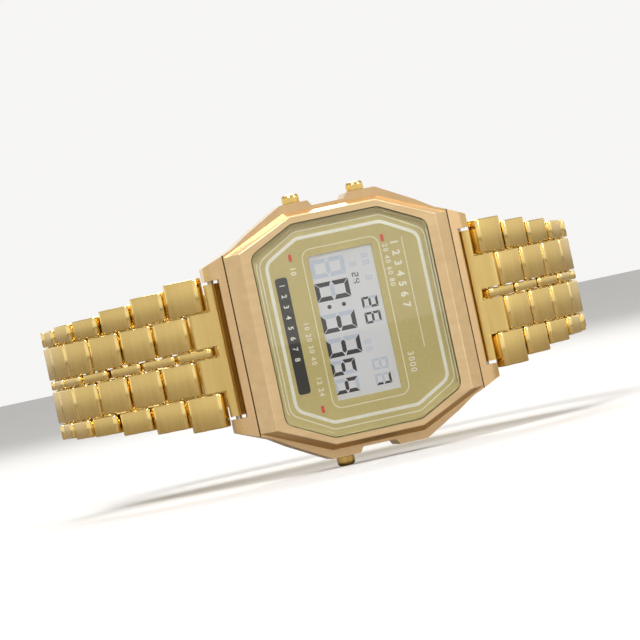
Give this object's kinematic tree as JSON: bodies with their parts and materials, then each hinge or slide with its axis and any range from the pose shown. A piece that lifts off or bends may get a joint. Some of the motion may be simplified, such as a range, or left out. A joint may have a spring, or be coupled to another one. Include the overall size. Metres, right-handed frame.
{
  "type": "digital wristwatch",
  "caption": "Rectangular digital wristwatch with cut corners, liquid crystal display, three side pushers and a closed tapering five-column metal link bracelet with a folding clasp.",
  "frame": {"origin": "centre of the case back's outer face", "axes": "+X towards the twelve o'clock lugs, +Y out of the case back towards the wrist, +Z towards the nine o'clock side, on which side the watch points up as it stands"},
  "size_m": [0.0798, 0.055, 0.039],
  "materials": {
    "case_gold": "polished gold plating",
    "bezel_gold": "brushed pale rose gold plating",
    "bracelet_gold": "brushed yellow gold plating, polished edges",
    "pusher_gold": "polished yellow gold plating",
    "steel": "plain bright steel",
    "crystal_glass": "clear mineral glass with a polished bevel",
    "dial_print": "fine-grained olive gold print",
    "lcd": "pale grey liquid crystal display",
    "reflector": "matt foil",
    "seal_rubber": "black rubber",
    "module_plastic": "black moulded plastic",
    "board_resin": "green circuit board",
    "component_black": "black resin",
    "lamp_white": "pale lamp lens",
    "piezo_brass": "plain brass disc"
  },
  "bodies": {
    "head": {"case_body": "case_gold", "bezel": "bezel_gold", "crystal": "crystal_glass", "crystal_gasket": "seal_rubber", "dial": "dial_print", "lcd_glass": "lcd", "lcd_reflector": "reflector", "zebra_strips": "seal_rubber", "module_frame": "module_plastic", "circuit_board": "board_resin", "board_components": "component_black", "contact_springs": "steel", "lamp": "lamp_white", "battery": "steel", "battery_strap": "steel", "piezo_disc": "piezo_brass", "buzzer_spring": "steel", "back_gasket": "seal_rubber", "case_back": "steel", "back_screws": "steel", "pusher_gaskets": "seal_rubber", "pusher_mode_spring": "steel", "pusher_light_spring": "steel", "pusher_start_spring": "steel", "upper_spring_bar": "steel", "lower_spring_bar": "steel"},
    "pusher_mode": {"pusher_mode": "pusher_gold"},
    "pusher_light": {"pusher_light": "pusher_gold"},
    "pusher_start": {"pusher_start": "pusher_gold"},
    "upper_end_link": {"upper_end_link": "bracelet_gold", "upper_row_01": "bracelet_gold", "upper_row_02": "bracelet_gold", "upper_row_03": "bracelet_gold"},
    "upper_row_04": {"upper_row_04": "bracelet_gold", "upper_row_05": "bracelet_gold", "upper_row_06": "bracelet_gold", "upper_row_07": "bracelet_gold"},
    "upper_row_08": {"upper_row_08": "bracelet_gold", "upper_row_09": "bracelet_gold", "upper_row_10": "bracelet_gold", "upper_row_11": "bracelet_gold"},
    "lower_end_link": {"lower_end_link": "bracelet_gold", "lower_row_01": "bracelet_gold", "lower_row_02": "bracelet_gold", "lower_row_03": "bracelet_gold"},
    "lower_row_04": {"lower_row_04": "bracelet_gold", "lower_row_05": "bracelet_gold", "lower_row_06": "bracelet_gold", "lower_row_07": "bracelet_gold"},
    "lower_row_08": {"lower_row_08": "bracelet_gold", "lower_row_09": "bracelet_gold", "lower_row_10": "bracelet_gold", "lower_row_11": "bracelet_gold"},
    "clasp": {"clasp_base": "bracelet_gold", "clasp_pin_upper": "bracelet_gold", "clasp_pin_lower": "bracelet_gold", "clasp_cover_pin": "bracelet_gold", "clasp_lever_pin": "bracelet_gold"},
    "clasp_cover": {"clasp_cover": "bracelet_gold"},
    "clasp_lever": {"clasp_lever": "bracelet_gold"}
  },
  "joints": [
    {"name": "mode_press", "type": "slide", "parent": "head", "child": "pusher_mode", "axis": [0, 0, -1], "range_m": [0, 0.0008], "stiffness_N_per_m": 1500, "springref_m": -0.0002, "deforming": ["pusher_mode_spring"]},
    {"name": "light_press", "type": "slide", "parent": "head", "child": "pusher_light", "axis": [0, 0, -1], "range_m": [0, 0.0008], "stiffness_N_per_m": 1500, "springref_m": -0.0002, "deforming": ["pusher_light_spring"]},
    {"name": "start_press", "type": "slide", "parent": "head", "child": "pusher_start", "axis": [0, 0, 1], "range_m": [0, 0.0008], "stiffness_N_per_m": 1500, "springref_m": -0.0002, "deforming": ["pusher_start_spring"]},
    {"name": "bracelet_flex", "type": "hinge", "parent": "head", "child": "upper_end_link", "pos_m": [0.0182, -0.0035, 0], "axis": [0, 0, 1], "range_deg": [-6, 6]},
    {"name": "upper_row_04_hinge", "type": "hinge", "parent": "upper_end_link", "child": "upper_row_04", "pos_m": [0.03392, 0.00765, 0], "axis": [0, 0, 1], "range_deg": [-5.64, 5.64]},
    {"name": "upper_row_08_hinge", "type": "hinge", "parent": "upper_row_04", "child": "upper_row_08", "pos_m": [0.03742, 0.02971, 0], "axis": [0, 0, 1], "range_deg": [-6.01, 6.01]},
    {"name": "lower_end_link_hinge", "type": "hinge", "parent": "head", "child": "lower_end_link", "pos_m": [-0.0182, -0.0035, 0], "axis": [0, 0, 1], "range_deg": [-6, 6]},
    {"name": "lower_row_04_hinge", "type": "hinge", "parent": "lower_end_link", "child": "lower_row_04", "pos_m": [-0.03392, 0.00765, 0], "axis": [0, 0, 1], "range_deg": [-5.64, 5.64]},
    {"name": "lower_row_08_hinge", "type": "hinge", "parent": "lower_row_04", "child": "lower_row_08", "pos_m": [-0.03742, 0.02971, 0], "axis": [0, 0, 1], "range_deg": [-6.01, 6.01]},
    {"name": "clasp_hinge", "type": "hinge", "parent": "upper_row_08", "child": "clasp", "pos_m": [0.01965, 0.04298, 0], "axis": [0, 0, 1], "range_deg": [-5.65, 5.65]},
    {"name": "clasp_cover_hinge", "type": "hinge", "parent": "clasp", "child": "clasp_cover", "pos_m": [0.01555, 0.04348, 0], "axis": [0, 0, -1], "range_deg": [0, 80]},
    {"name": "clasp_lever_hinge", "type": "hinge", "parent": "clasp", "child": "clasp_lever", "pos_m": [-0.003, 0.04258, 0], "axis": [0, 0, 1], "range_deg": [0, 65]}
  ],
  "couplings": [
    {"joint": "upper_row_04_hinge", "follows": "bracelet_flex", "ratio": -0.9396},
    {"joint": "upper_row_08_hinge", "follows": "bracelet_flex", "ratio": -1.0013},
    {"joint": "lower_end_link_hinge", "follows": "bracelet_flex", "ratio": -1},
    {"joint": "lower_row_04_hinge", "follows": "bracelet_flex", "ratio": 0.9396},
    {"joint": "lower_row_08_hinge", "follows": "bracelet_flex", "ratio": 1.0013},
    {"joint": "clasp_hinge", "follows": "bracelet_flex", "ratio": 0.9409}
  ]
}
